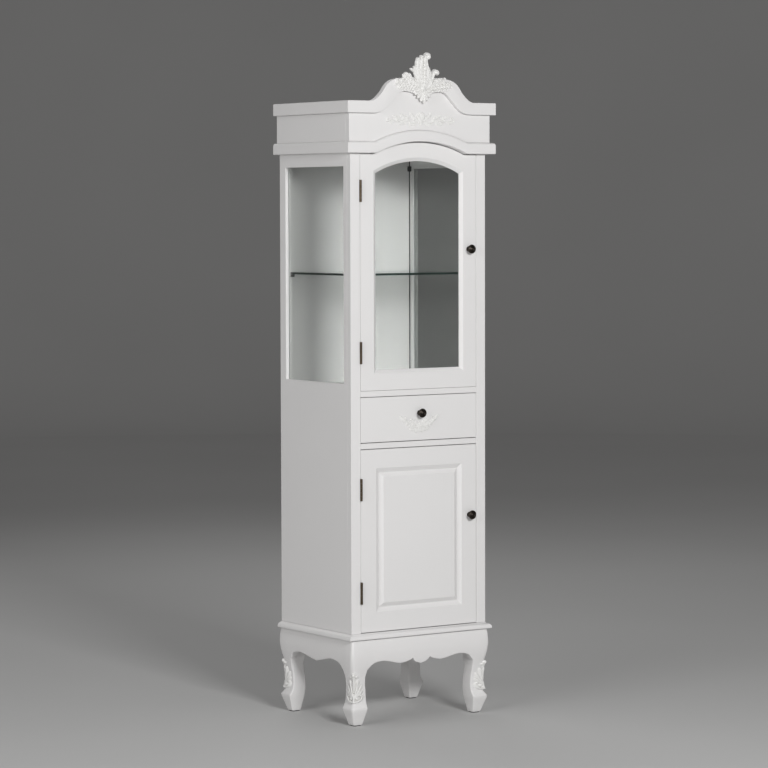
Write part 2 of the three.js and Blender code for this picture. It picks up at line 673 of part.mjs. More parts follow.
const DRAWER_GARLAND = mirrored([
  [0, 809], [20, 813], [44, 826], [62, 842], [69, 858], [56, 854], [36, 843], [18, 842],
  [0, 841],
]);
add("drawer_garland", carving(DRAWER_GARLAND, FRONT - GAP - GARLAND_THICK,
  GARLAND_THICK), carvedPaint);

cabinet.position.y = ORIGIN_SHIFT;

export default cabinet;
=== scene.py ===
"""Curio cabinet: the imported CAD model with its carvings, legs, mouldings and finishes."""

import json
import math

import bmesh
import bpy
import numpy as np
from mathutils import Matrix, Vector


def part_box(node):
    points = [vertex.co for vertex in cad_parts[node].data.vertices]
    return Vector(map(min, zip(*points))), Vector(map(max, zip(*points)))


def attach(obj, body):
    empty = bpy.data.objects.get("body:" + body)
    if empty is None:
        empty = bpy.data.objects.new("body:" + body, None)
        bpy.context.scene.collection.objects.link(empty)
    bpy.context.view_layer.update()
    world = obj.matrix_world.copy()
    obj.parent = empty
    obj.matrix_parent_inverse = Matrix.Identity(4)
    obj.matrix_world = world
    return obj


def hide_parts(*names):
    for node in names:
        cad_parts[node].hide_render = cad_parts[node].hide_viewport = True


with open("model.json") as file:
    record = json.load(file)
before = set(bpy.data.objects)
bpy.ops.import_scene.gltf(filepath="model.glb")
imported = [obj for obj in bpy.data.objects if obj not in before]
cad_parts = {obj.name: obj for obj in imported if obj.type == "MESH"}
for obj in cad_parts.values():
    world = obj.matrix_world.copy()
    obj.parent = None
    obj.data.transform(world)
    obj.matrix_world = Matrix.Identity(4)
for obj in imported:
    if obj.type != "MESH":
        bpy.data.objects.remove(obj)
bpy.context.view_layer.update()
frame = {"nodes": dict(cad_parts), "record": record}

# Shapes below are written in millimetres and scaled once, in mesh_of.
MM = 0.001


def low(node):
    """The least x, y and z of a CAD node, in millimetres."""
    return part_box(node)[0] / MM


def high(node):
    """The greatest x, y and z of a CAD node, in millimetres."""
    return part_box(node)[1] / MM


def linked(name, data):
    """A new object that shows in the scene."""
    made = bpy.data.objects.new(name, data)
    bpy.context.scene.collection.objects.link(made)
    return made


def mesh_of(name, points, faces):
    """A mesh in metres from points in millimetres."""
    mesh = bpy.data.meshes.new(name)
    mesh.from_pydata([Vector(p) * MM for p in points], [], faces)
    return mesh


BACK = high("back_panel").y
MIDDLE_Y = (low("face_stile_left").y + BACK) / 2
HALF_WIDTH = high("face_stile_right").x
INNER_X = low("side_panel_right").x

# The camera, fitted to the verticals and mouldings of the photograph. Angles are in radians.
CAMERA_FROM_MIDDLE = (-4883.9, -7166.8, 1421.3)
CAMERA_YAW = 0.59859
CAMERA_PITCH = 0.05599
CAMERA_ROLL = -0.00246
CAMERA_LENS = 143.485
SENSOR_WIDTH = 36


def make_camera():
    yaw, pitch, roll = CAMERA_YAW, CAMERA_PITCH, CAMERA_ROLL
    forward = Vector((math.sin(yaw) * math.cos(pitch), math.cos(yaw) * math.cos(pitch),
                      -math.sin(pitch)))
    level = Vector((math.cos(yaw), -math.sin(yaw), 0))
    upright = level.cross(forward)
    right = level * math.cos(roll) + upright * math.sin(roll)
    up = upright * math.cos(roll) - level * math.sin(roll)
    data = bpy.data.cameras.new("camera")
    data.lens = CAMERA_LENS
    data.sensor_width = SENSOR_WIDTH
    camera = linked("camera", data)
    spot = (Vector(CAMERA_FROM_MIDDLE) + Vector((0, MIDDLE_Y, 0))) * MM
    turn = Matrix((right, up, -forward)).transposed().to_4x4()
    camera.matrix_world = Matrix.Translation(spot) @ turn
    bpy.context.scene.camera = camera


make_camera()

# Materials


class Nodes:
    """A short way to write a node tree."""

    def __init__(self, name):
        self.material = bpy.data.materials.new(name)
        self.material.use_nodes = True
        self.tree = self.material.node_tree
        self.tree.nodes.clear()
        self.output = self.tree.nodes.new("ShaderNodeOutputMaterial")

    def node(self, kind, **inputs):
        """A node with its inputs fed; an underscore in a keyword is a space in the name."""
        node = self.tree.nodes.new(kind)
        for key, value in inputs.items():
            self.feed(node.inputs[key.replace("_", " ")], value)
        return node

    def feed(self, socket, value):
        if isinstance(value, bpy.types.NodeSocket):
            self.tree.links.new(value, socket)
        else:
            socket.default_value = value

    def noise(self, scale, detail=3, stretch=(1, 1, 1), distortion=0):
        place = self.node("ShaderNodeTexCoord").outputs["Object"]
        mapping = self.node("ShaderNodeMapping", Vector=place, Scale=stretch)
        node = self.node("ShaderNodeTexNoise", Vector=mapping.outputs[0], Scale=scale,
                         Detail=detail, Distortion=distortion)
        return node.outputs["Fac"]

    def span(self, fac, low_value, high_value):
        """Spreads the range that a noise mostly fills over low_value to high_value."""
        node = self.node("ShaderNodeMapRange", Value=fac, From_Min=0.3, From_Max=0.7,
                         To_Min=low_value, To_Max=high_value)
        return node.outputs[0]

    def maths(self, operation, a, b):
        node = self.tree.nodes.new("ShaderNodeMath")
        node.operation = operation
        self.feed(node.inputs[0], a)
        self.feed(node.inputs[1], b)
        return node.outputs[0]

    def mix(self, fac, a, b):
        node = self.tree.nodes.new("ShaderNodeMix")
        node.data_type = "RGBA"
        self.feed(node.inputs["Factor"], fac)
        for socket, value in ((node.inputs[6], a), (node.inputs[7], b)):
            self.feed(socket, (*value, 1) if isinstance(value, tuple) else value)
        return node.outputs[2]

    def bump(self, height, strength, distance, normal=None):
        node = self.node("ShaderNodeBump", Height=height, Strength=strength,
                         Distance=distance)
        if normal is not None:
            self.feed(node.inputs["Normal"], normal)
        return node.outputs[0]

    def finish(self, shader):
        self.tree.links.new(shader, self.output.inputs["Surface"])
        return self.material


# Colour of the painted shade in a carving's hollows.
HOLLOW_SHADE_TONE = (0.62, 0.61, 0.585)


def paint(name, tone, patch_tone, roughness, carved=False):
    """Satin brushed paint, a little darker in patches, with painted shade in carved hollows."""
    n = Nodes(name)
    colour = n.mix(n.span(n.noise(5, 4, distortion=0.4), 0, 0.35), tone, patch_tone)
    if carved:
        # Painted shade: the hollow mark darkens a carving's hollows.
        hollow = n.node("ShaderNodeAttribute")
        hollow.attribute_name = "hollow"
        colour = n.mix(hollow.outputs["Fac"], colour, HOLLOW_SHADE_TONE)
    grain = n.bump(n.noise(90, 5, stretch=(1, 1, 0.06)), 0.12, 0.0006)
    normal = n.bump(n.noise(1100, 2), 0.10, 0.0002, grain)
    shader = n.node("ShaderNodeBsdfPrincipled", Base_Color=colour, Normal=normal,
                    Roughness=n.span(n.noise(40, 3), roughness - 0.05, roughness + 0.06))
    shader.inputs["Specular IOR Level"].default_value = 0.34
    shader.inputs["Coat Weight"].default_value = 0.06
    shader.inputs["Coat Roughness"].default_value = 0.32
    return n.finish(shader.outputs[0])


def metal(name, dark, bright, roughness):
    """Aged metal: dark in general, rubbed bright in patches, and lighter on convex edges as painted
    highlight.
    """
    n = Nodes(name)
    # Painted highlight: the edge mark lightens convex edges, such as the knob's rings.
    edge = n.node("ShaderNodeAttribute")
    edge.attribute_name = "edge"
    patches = n.span(n.noise(260, 5, distortion=0.6), 0, 0.5)
    wear_and_highlight = n.maths("MAXIMUM", edge.outputs["Fac"], patches)
    colour = n.mix(wear_and_highlight, dark, bright)
    normal = n.bump(n.noise(1500, 3), 0.2, 0.0002)
    shader = n.node("ShaderNodeBsdfPrincipled", Base_Color=colour, Normal=normal,
                    Roughness=n.span(n.noise(300, 3), roughness - 0.1, roughness + 0.15))
    shader.inputs["Metallic"].default_value = 0.92
    return n.finish(shader.outputs[0])


def glass(name, tint, roughness):
    """A clear pane. Lamps shine through it."""
    n = Nodes(name)
    smear = n.span(n.noise(14, 4, distortion=0.8), roughness * 0.3, roughness)
    pane = n.node("ShaderNodeBsdfPrincipled", Roughness=smear)
    pane.inputs["Base Color"].default_value = (*tint, 1)
    pane.inputs["Transmission Weight"].default_value = 1
    pane.inputs["IOR"].default_value = 1.47
    clear = n.node("ShaderNodeBsdfTransparent")
    clear.inputs["Color"].default_value = (*(math.sqrt(channel) for channel in tint), 1)
    path = n.node("ShaderNodeLightPath")
    mix = n.node("ShaderNodeMixShader", Fac=path.outputs["Is Shadow Ray"])
    n.tree.links.new(pane.outputs[0], mix.inputs[1])
    n.tree.links.new(clear.outputs[0], mix.inputs[2])
    return n.finish(mix.outputs[0])


def glass_edge(name):
    """The dark green that a pane shows at its edge."""
    n = Nodes(name)
    colour = n.mix(n.span(n.noise(60, 3, stretch=(1, 1, 6)), 0, 1), (0.010, 0.024, 0.020),
                   (0.022, 0.045, 0.038))
    shader = n.node("ShaderNodeBsdfPrincipled", Base_Color=colour, Roughness=0.22)
    return n.finish(shader.outputs[0])


def plastic(name, dark, light, roughness):
    """Moulded plastic with a fine grain."""
    n = Nodes(name)
    colour = n.mix(n.span(n.noise(120, 3), 0, 1), dark, light)
    normal = n.bump(n.noise(2200, 2), 0.25, 0.0001)
    shader = n.node("ShaderNodeBsdfPrincipled", Base_Color=colour, Normal=normal,
                    Roughness=n.span(n.noise(90, 2), roughness - 0.06, roughness + 0.08))
    return n.finish(shader.outputs[0])


GLASS_EDGE = glass_edge("glass_edge")
RECIPES = {
    "white_paint": (paint, (0.80, 0.79, 0.785), (0.765, 0.755, 0.75), 0.45),
    "carved_paint": (paint, (0.83, 0.825, 0.81), (0.80, 0.795, 0.775), 0.34, True),
    "drawer_board": (paint, (0.74, 0.73, 0.71), (0.70, 0.69, 0.665), 0.55),
    "clear_glass": (glass, (0.685, 0.70, 0.69), 0.02),
    "aged_bronze": (metal, (0.012, 0.011, 0.0105), (0.085, 0.068, 0.054), 0.34),
    "antique_brass": (metal, (0.055, 0.042, 0.03), (0.20, 0.15, 0.10), 0.38),
    "black_plastic": (plastic, (0.012, 0.012, 0.013), (0.028, 0.028, 0.03), 0.45),
}
FINISHES = {slot: recipe(slot, *values) for slot, (recipe, *values) in RECIPES.items()}

# Helpers


def new_object(name, points, faces, slot, body, replaces=(), smooth_angle=35, edge=None):
    """A piece made of points in millimetres, riding on a body. Edge is a second material."""
    mesh = mesh_of(name, points, faces)
    made = bmesh.new()
    made.from_mesh(mesh)
    bmesh.ops.recalc_face_normals(made, faces=made.faces)
    made.to_mesh(mesh)
    made.free()
    piece = linked(name, mesh)
    mesh.materials.append(FINISHES[slot])
    if edge:
        mesh.materials.append(edge)
    shade(mesh, smooth_angle)
    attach(piece, body)
    if replaces:
        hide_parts(*replaces)
    return piece


def shade(mesh, angle):
    """Smooth shading, with edges sharper than angle kept sharp."""
    mesh.shade_smooth()
    mesh.set_sharp_from_angle(angle=math.radians(angle))


def bevel(piece, width, segments=2, angle=35):
    """Rounds the sharp edges, and keeps the faces between them flat to the eye."""
    modifier = piece.modifiers.new("soft_edges", "BEVEL")
    modifier.width = width * MM
    modifier.segments = segments
    modifier.limit_method = "ANGLE"
    modifier.angle_limit = math.radians(angle)
    flat = piece.modifiers.new("flat_faces", "WEIGHTED_NORMAL")
    flat.mode = "FACE_AREA"
    flat.weight = 100
    flat.keep_sharp = True


def smooth(knots):
    """A smooth curve through (position, value) knots that never overshoots them."""
    steps = [(b[1] - a[1]) / (b[0] - a[0]) for a, b in zip(knots, knots[1:])]
    slopes = []
    for i in range(len(knots)):
        before = steps[max(i - 1, 0)]
        after = steps[min(i, len(steps) - 1)]
        slopes.append(2 * before * after / (before + after) if before * after > 0 else 0)

    def value(at):
        k = max(0, min(len(knots) - 2, sum(knot[0] <= at for knot in knots) - 1))
        (x0, y0), (x1, y1) = knots[k], knots[k + 1]
        width = x1 - x0
        t = min(1, max(0, (at - x0) / width))
        return (y0 * (1 + 2 * t) * (1 - t) ** 2 + y1 * t * t * (3 - 2 * t)
                + width * (slopes[k] * t * (1 - t) ** 2 - slopes[k + 1] * t * t * (1 - t)))

    return value


def hand(side):
    return "left" if side < 0 else "right"


def evenly(start, end, count):
    """The ends of count equal steps from start to end."""
    return [start + (end - start) * i / count for i in range(count + 1)]


def ring_faces(rows, count):
    """Faces between rows of count points each, where every row closes on itself."""
    faces = []
    for i in range(rows - 1):
        for j in range(count):
            k = (j + 1) % count
            faces.append((i * count + j, i * count + k, (i + 1) * count + k,
                          (i + 1) * count + j))
    return faces


def lofted(rows, count):
    """Faces of a closed skin through rows of count points each, with both ends closed."""
    ends = [tuple(range(count)), tuple(range((rows - 1) * count, rows * count))]
    return ends + ring_faces(rows, count)


def stacked(rows):
    """Points and faces of a closed skin through rows of points."""
    return [point for row in rows for point in row], lofted(len(rows), len(rows[0]))


def sweep(profile, stations, place):
    """Points and faces of a closed profile carried along stations."""
    return stacked([[place(a, b, station) for a, b in profile] for station in stations])


def circle(radius, count):
    """Evenly spaced points round a circle."""
    return [(radius * math.cos(2 * math.pi * i / count), radius * math.sin(2 * math.pi * i / count))
            for i in range(count)]


def arc_rise(x, half, rise):
    """Height at x of an arc that spans half on each side and rises by rise."""
    if abs(x) >= half:
        return 0
    radius = (half * half + rise * rise) / (2 * rise)
    return math.sqrt(radius * radius - x * x) - (radius - rise)


def rounded(points, radii, steps=4):
    """The closed outline with each corner rounded by an arc-like curve."""
    result = []
    count = len(points)
    for i, (corner, radius) in enumerate(zip(points, radii)):
        here = Vector(corner)
        before = Vector(points[i - 1]) - here
        after = Vector(points[(i + 1) % count]) - here
        reach = min(radius, before.length * 0.45, after.length * 0.45)
        start = here + before.normalized() * reach
        end = here + after.normalized() * reach
        for t in evenly(0, 1, steps):
            result.append(tuple(start * (1 - t) ** 2 + here * 2 * t * (1 - t) + end * t * t))
    return result


# Carcass finishes

# How far paint and wear round each finish's edges, in millimetres.
SLOT_EDGES = {
    "white_paint": 1.0, "carved_paint": 0.5, "drawer_board": 0.8, "aged_bronze": 0.3,
    "antique_brass": 0.25, "black_plastic": 0.5,
}
EDGE_WIDTHS = {"face_stile_left": 1.8, "face_stile_right": 1.8}
WELD_DISTANCE = 0.01


def dress_cad_nodes():
    """The CAD pieces that stay: their finish, and edges softened as paint leaves them."""
    slots = {row["node"]: row["material_slot"] for row in frame["record"]["subparts"]}
    for name, node in frame["nodes"].items():
        node.data.materials.clear()
        node.data.materials.append(FINISHES[slots[name]])
        if slots[name] == "clear_glass":
            continue
        shade(node.data, 30)
        weld = node.modifiers.new("weld", "WELD")
        weld.merge_threshold = WELD_DISTANCE * MM
        flats = node.modifiers.new("flats", "DECIMATE")
        flats.decimate_type = "DISSOLVE"
        flats.angle_limit = math.radians(1)
        bevel(node, EDGE_WIDTHS.get(name, SLOT_EDGES[slots[name]]), segments=3, angle=25)


dress_cad_nodes()

# Legs and base frame

# Curves of the leg by height: how far it reaches to its outer and inner sides, and how round
# its corners are.
leg_out = smooth([
    (0, 14), (24, 21.8), (40, 27.2), (46, 28.8), (49.5, 28.9), (53, 27), (64, 20.6),
    (82, 17.4), (105, 17.4), (130, 20.8), (150, 24.5), (165, 28.2), (182, 31), (200, 32.2),
    (219, 31), (242, 27),
])
leg_in = smooth([
    (0, 13.6), (26, 18.2), (50, 22.8), (75, 24.4), (95, 23.8), (115, 21.6), (137, 20),
    (150, 21.2), (160, 22.8), (242, 22.8),
])
outer_round = smooth([(0, 7), (44, 8), (60, 9), (100, 13), (160, 15), (200, 11), (242, 6)])
inner_round = smooth([(0, 4), (46, 4), (60, 4), (135, 4), (152, 0.3), (242, 0.2)])
LEG_REACH = 32.2
LEG_TOP = high("leg_front_left").z
SQUARE = [(-1, -1), (1, -1), (1, 1), (-1, 1)]
# Height of the pad under a foot, and of the dark gap under the base moulding with its depth.
GLIDE = 2.4
SHADOW_GAP = 2.2
GAP_DEPTH = 4


def leg_centre(side, end):
    """Middle of a leg, from the outer corner of its CAD box."""
    node = f"leg_{'front' if end < 0 else 'rear'}_{hand(side)}"
    x = low(node).x + LEG_REACH if side < 0 else high(node).x - LEG_REACH
    y = low(node).y + LEG_REACH if end < 0 else high(node).y - LEG_REACH
    return node, x, y


def leg_levels():
    """Heights of a leg's sections: close together in the foot, even above it."""
    foot = [0, 0.5, 1.6, 10, 22, 32, 40, 45, 47, 49, 51, 53, 56]
    return [GLIDE + z for z in foot] + evenly(62, LEG_TOP - SHADOW_GAP, 46)


def make_leg(side, end):
    """A cabriole leg with square faces, crisp at the toe and rounder at the knee."""
    node, centre_x, centre_y = leg_centre(side, end)
    toe_tuck = smooth([(GLIDE, 1.5), (GLIDE + 0.6, 0.5), (GLIDE + 2, 0), (LEG_TOP, 0)])
    rows = []
    for z in leg_levels():
        reach = {1: leg_out(z) - toe_tuck(z), -1: leg_in(z) - toe_tuck(z)}
        section = [(a * reach[a * side], b * reach[b * end]) for a, b in SQUARE]
        radii = [outer_round(z) if (a, b) == (side, end) else inner_round(z) for a, b in SQUARE]
        rows.append([(centre_x + a, centre_y + b, z) for a, b in rounded(section, radii, 6)])
    reach = {1: leg_out(LEG_TOP) - GAP_DEPTH, -1: leg_in(LEG_TOP)}
    section = [(a * reach[a * side], b * reach[b * end]) for a, b in SQUARE]
    neck = rounded(section, [4 if (a, b) == (side, end) else 0.2 for a, b in SQUARE], 6)
    for z in (LEG_TOP - SHADOW_GAP, LEG_TOP):
        rows.append([(centre_x + a, centre_y + b, z) for a, b in neck])
    points, faces = stacked(rows)
    new_object(f"{node}_turned", points, faces, "white_paint", "cabinet", [node], 28)
    make_glide(f"{node}_glide", centre_x, centre_y)


def make_glide(name, x, y):
    """A dark pad nailed under the foot."""
    half = 11.5
    rows = []
    for z, tuck in ((0, 1), (0.6, 0.2), (1.2, 0), (GLIDE + 0.2, 0)):
        square = [(a * (half - tuck), b * (half - tuck)) for a, b in SQUARE]
        rows.append([(x + a, y + b, z) for a, b in rounded(square, [4] * 4, 5)])
    points, faces = stacked(rows)
    new_object(name, points, faces, "black_plastic", "cabinet")


# Lower edges of the aprons: height by distance from the middle. The front one has a cusp.
CUSP = 28.5
middle_lobe = smooth([(0, 160.7), (15, 165), (25, 172), (CUSP, 177.5)])
side_lobes = smooth([
    (CUSP, 177.5), (39, 172.5), (52, 169), (68, 167), (84, 169), (104, 174), (132, 178),
    (150, 176), (166, 169.5), (180, 155),
])
side_scallop = smooth([
    (0, 165.5), (17, 168.4), (38, 173), (60, 177.6), (82, 180.4), (108, 177),
    (124, 169), (132, 157),
])
APRON_THICK = 20
REAR_EDGE = 178
REAR_DROP = 22


def front_scallop(x):
    return middle_lobe(x) if x < CUSP else side_lobes(x)


def make_apron(node, reach, scallop, place):
    """A board that follows the bow of the legs, with a shaped lower edge."""
    rows = evenly(0, 1, 16)[1:-1]
    edge = 0.018
    under_gap = None
    profile = ([(1.2, 0), (0.25, edge * 0.4), (0, edge)] + [(0, row) for row in rows]
               + [(0, under_gap), (GAP_DEPTH, under_gap), (GAP_DEPTH, 1), (APRON_THICK, 1)]
               + [(APRON_THICK, row) for row in reversed(rows)]
               + [(APRON_THICK, edge), (APRON_THICK - 1, 0)])
    half = evenly(0, CUSP, 10) + evenly(CUSP, reach, 44)[1:]
    stations = [-x for x in reversed(half[1:])] + half

    def spot(inset, row, along):
        bottom = scallop(abs(along))
        if row is under_gap:
            z = LEG_TOP - SHADOW_GAP
        else:
            z = bottom + (LEG_TOP - bottom) * row
        return place(leg_out(z) - inset, along, z)

    points, faces = sweep(profile, stations, spot)
    new_object(f"{node}_shaped", points, faces, "white_paint", "cabinet", [node], 40)


def make_base_frame():
    for end in (-1, 1):
        for side in (-1, 1):
            make_leg(side, end)
    _, left_x, front_y = leg_centre(-1, -1)
    _, right_x, rear_y = leg_centre(1, 1)
    middle_y = (front_y + rear_y) / 2
    into_leg = 0.6
    across = high("apron_front").x + into_leg
    along_side = (high("apron_left").y - low("apron_left").y) / 2 + into_leg
    make_apron("apron_front", across, front_scallop, lambda out, a, z: (a, front_y - out, z))
    make_apron("apron_rear", across, lambda x: REAR_EDGE - REAR_DROP * (x / across) ** 6,
               lambda out, a, z: (a, rear_y + out, z))
    make_apron("apron_left", along_side, side_scallop,
               lambda out, a, z: (left_x - out, middle_y + a, z))
    make_apron("apron_right", along_side, side_scallop,
               lambda out, a, z: (right_x + out, middle_y + a, z))


make_base_frame()

# Mouldings

INNER_Y = high("face_stile_left").y
ARCH_HALF = 153.5
ARCH_RISE = 33.1
ARCH_MARGIN = 20


def round_three_sides(profile, bottom, front_stations=(), rise=None):
    """A moulding mitred round the front and both sides."""
    stations = ([(-1, None, BACK), (-1, None, None)] + [(0, x, None) for x in front_stations]
                + [(1, None, None), (1, None, BACK)])

    def spot(out, up, station):
        side, x, y = station
        if side:
            x = side * (INNER_X + out)
        y = INNER_Y - out if y is None else y
        return x, y, bottom + up + (rise(x) if rise and not side else 0)

    return sweep(profile, stations, spot)


def make_base_moulding():
    """A rounded nose with a small cove above it."""
    depth = high("base_moulding").x - INNER_X
    board = HALF_WIDTH - INNER_X
    bottom = low("base_moulding").z
    height = high("base_moulding").z - bottom
    profile = [
        (0, 0), (depth - 1.8, 0), (depth - 0.8, 0.3), (depth - 0.2, 1), (depth, 2),
        (depth, 4), (depth - 0.5, 6.8), (depth - 1.8, 9.2), (depth - 3.8, 11.2),
        (depth - 6.3, 12.7), (depth - 9, 13.7), (board + 2.2, 14.5), (board + 1, 15.3),
        (board + 0.4, height), (0, height),
    ]
    points, faces = round_three_sides(profile, bottom)
    new_object("base_moulding_run", points, faces, "white_paint", "cabinet",
               ["base_moulding"], 32)


def make_neck_moulding():
    """A square band with a rounded top, arched over the door."""
    depth = high("neck_moulding").x - INNER_X
    bottom = low("neck_moulding").z
    height = 31.7
    profile = [
        (0, 0), (depth - 2.4, 0), (depth - 1.2, 0.3), (depth - 0.3, 1.2), (depth, 2.4),
        (depth, 24.2), (depth - 0.5, 26.8), (depth - 1.7, 29), (depth - 3.5, 30.5),
        (depth - 5.8, 31.4), (depth - 8.4, height), (0, height),
    ]
    straight = HALF_WIDTH - ARCH_MARGIN
    xs = [-straight] + evenly(-ARCH_HALF, ARCH_HALF, 72) + [straight]
    points, faces = round_three_sides(profile, bottom, xs,
                                      lambda x: arc_rise(x, ARCH_HALF, ARCH_RISE))
    new_object("neck_moulding_run", points, faces, "white_paint", "cabinet",
               ["neck_moulding"], 32)


# Lower and upper edge of the pediment: height by distance from the middle.
PEDIMENT_HALF = 171
CORNICE_BOTTOM = low("cornice_left").z
CORNICE_TOP = high("cornice_left").z
band_lower = smooth([
    (0, 1744), (18, 1747), (36, 1752), (58, 1755.3), (74, 1752.4), (84, 1746.4), (98, 1731.5),
    (111, 1718), (127, 1704), (140, 1697.6), (156, 1694.2), (PEDIMENT_HALF, CORNICE_BOTTOM),
])
band_upper = smooth([
    (0, 1792), (40, 1793), (68, 1792), (85, 1789.6), (98, 1786.6), (111, 1780), (122, 1770),
    (133, 1754.6), (148, 1739.6), (159, 1731.5), (PEDIMENT_HALF, CORNICE_TOP),
])


def make_pediment():
    """The swan-neck band: full depth in the cornice, a thin board where it rises above it."""
    inner_x = low("cornice_right").x
    inner_y = high("cornice_front").y
    depth = high("cornice_right").x - inner_x
    board, soft, seam = 19, 1.6, 0.3
    end = inner_x + depth
    xs = [-end] + evenly(-PEDIMENT_HALF, PEDIMENT_HALF, 120) + [end]
    points = []
    for x in xs:
        near = abs(x) < PEDIMENT_HALF
        bottom = band_lower(abs(x)) if near else CORNICE_BOTTOM
        top = band_upper(abs(x)) if near else CORNICE_TOP + seam
        step = min(max(CORNICE_TOP, bottom + seam), top - seam)
        section = [(0, bottom), (depth, bottom), (depth, top), (depth - board, top),
                   (depth - board, step), (0, step)]
        for out, z in rounded(section, [soft, soft, soft, soft, 0.2, soft], 4):
            at = math.copysign(inner_x + out, x) if abs(x) == end else x
            points.append((at, inner_y - out, min(z, CORNICE_TOP) if not near else z))
    count = len(points) // len(xs)
    new_object("cornice_front_band", points, lofted(len(xs), count), "white_paint",
               "cabinet", ["cornice_front"], 32)


make_base_moulding()
make_neck_moulding()
make_pediment()

# Carvings


class Carving:
    """Leaf fingers piled on a backing, then fused into one carved skin."""

    def __init__(self, deep=1):
        """Heights in the calls below are shares of deep."""
        self.deep = deep
        self.points = []
        self.faces = []

    def finger(self, path, width, height, lift=0.35, groove=0.3, round_tip=0.5, root=0.45):
        """A crowned finger along path, in the plane of the carving."""
        line = self.curve(path, 20)
        across = evenly(-1, 1, 10)
        rows = []
        for i, spot in enumerate(line):
            t = i / (len(line) - 1)
            ahead = line[min(i + 1, len(line) - 1)] - line[max(i - 1, 0)]
            sideways = Vector((-ahead.y, ahead.x)).normalized()
            swell = root + (1 - root) * math.sin(math.pi * min(1, t * 0.75)) ** 0.9
            close = max(0.0, 1 - max(0.0, (t - (1 - round_tip)) / round_tip) ** 2.2) ** 0.5
            half = width / 2 * swell * max(close, 0.02)
            top = self.deep * height * (1 - lift + lift * t) * max(close, 0.05) ** 0.6
            row = []
            for u in across:
                crown = (1 - abs(u) ** 2.3) * (1 - groove * math.exp(-(u / 0.24) ** 2))
                spread = spot + sideways * (u * half)
                row.append((spread.x, spread.y, top * crown))
            rows.append(row)
        self.skin(rows)

    def dome(self, x, z, radius, height):
        """A berry or bud."""
        rows = []
        for t in evenly(-0.98, 0.98, 8):
            half = math.sqrt(1 - t * t)
            rows.append([(x + u * half * radius, z + t * radius,
                          self.deep * height * math.sqrt(max(0, 1 - t * t - (u * half) ** 2)))
                         for u in evenly(-1, 1, 8)])
        self.skin(rows)

    def rosette(self, x, z, radius, height, petals=(6, 4)):
        """An open rose: rings of rounded petals that rise towards the middle."""
        for ring, count in enumerate(petals):
            inner = ring / len(petals)
            size = radius * (1 - 0.72 * inner)
            for i in range(count):
                angle = 2 * math.pi * (i + 0.5 * ring) / count + 0.3
                tip = (x + size * math.cos(angle), z + size * math.sin(angle))
                self.finger([(x, z), tip], 2.1 * math.pi * size / count * 0.62,
                            height * (0.66 + 0.3 * inner), lift=0.1, groove=0.25, root=0.5)
        self.dome(x, z, radius * 0.2, height)

    def skin(self, rows):
        """Adds a closed solid: the rows on top, and a flat underside sunk in the ground."""
        start = len(self.points)
        deep = -1.2
        count = len(rows[0])
        for row in rows:
            self.points += row
        for row in rows:
            self.points += [(x, z, deep) for x, z, _ in row]
        under = len(rows) * count
        for i in range(len(rows) - 1):
            for j in range(count - 1):
                a = start + i * count + j
                quad = (a, a + 1, a + count + 1, a + count)
                self.faces.append(quad)
                self.faces.append(tuple(under + k for k in reversed(quad)))
        last = (len(rows) - 1) * count
        rim = ([start + j for j in range(count)]
               + [start + i * count + count - 1 for i in range(1, len(rows))]
               + [start + last + j for j in range(count - 2, -1, -1)]
               + [start + i * count for i in range(len(rows) - 2, 0, -1)])
        for a, b in zip(rim, rim[1:] + rim[:1]):
            self.faces.append((b, a, a + under, b + under))

    @staticmethod
    def curve(path, count):
        """Evenly spread points on a smooth curve through the path's points."""
        spots = [Vector(p) for p in path]
        if len(spots) == 2:
            spots.insert(1, (spots[0] + spots[1]) / 2)
        spots = [2 * spots[0] - spots[1], *spots, 2 * spots[-1] - spots[-2]]
        fine = []
        for a, b, c, d in zip(spots, spots[1:], spots[2:], spots[3:]):
            for t in evenly(0, 1, 8)[:-1]:
                fine.append(0.5 * (2 * b + (c - a) * t + (2 * a - 5 * b + 4 * c - d) * t * t
                                   + (3 * b - 3 * c + d - a) * t ** 3))
        fine.append(spots[-2])
        lengths = [0]
        for a, b in zip(fine, fine[1:]):
            lengths.append(lengths[-1] + (b - a).length)
        result = []
        for wanted in evenly(0, lengths[-1], count):
            k = min(len(fine) - 2, max(0, sum(v <= wanted for v in lengths) - 1))
            part = (wanted - lengths[k]) / max(lengths[k + 1] - lengths[k], 1e-9)
            result.append(fine[k].lerp(fine[k + 1], part))
        return result

    def frond(self, path, width, height, pairs=3, spread=48, reach=0.42, sides=(-1, 1)):
        """An acanthus leaf: a ribbed middle with fingers that fan out on both sides."""
        line = self.curve(path, 24)
        length = sum((b - a).length for a, b in zip(line, line[1:]))
        self.finger(path, width * 0.62, height * 0.72, groove=0.1, root=0.7)
        for i in range(pairs):
            t = 0.16 + 0.62 * i / max(pairs - 1, 1)
            k = int(t * (len(line) - 2))
            along = (line[k + 1] - line[k]).normalized()
            size = length * reach * (1 - 0.45 * t)
            for side in sides:
                lean = math.radians(spread * (1 - 0.45 * t)) * side
                away = Vector((along.x * math.cos(lean) - along.y * math.sin(lean),
                               along.x * math.sin(lean) + along.y * math.cos(lean)))
                start = line[k] - along * size * 0.15
                bow = (along * 0.20 + away * 0.42) * size
                tip = (away * 0.82 + along * 0.22) * size
                self.finger([start, start + bow, start + tip], width * 0.5 * (1 - 0.25 * t),
                            height * (0.88 - 0.12 * t), lift=0.45, groove=0.35, round_tip=0.4)
        self.finger(path, width * 0.3, height, groove=0.35, root=0.6)

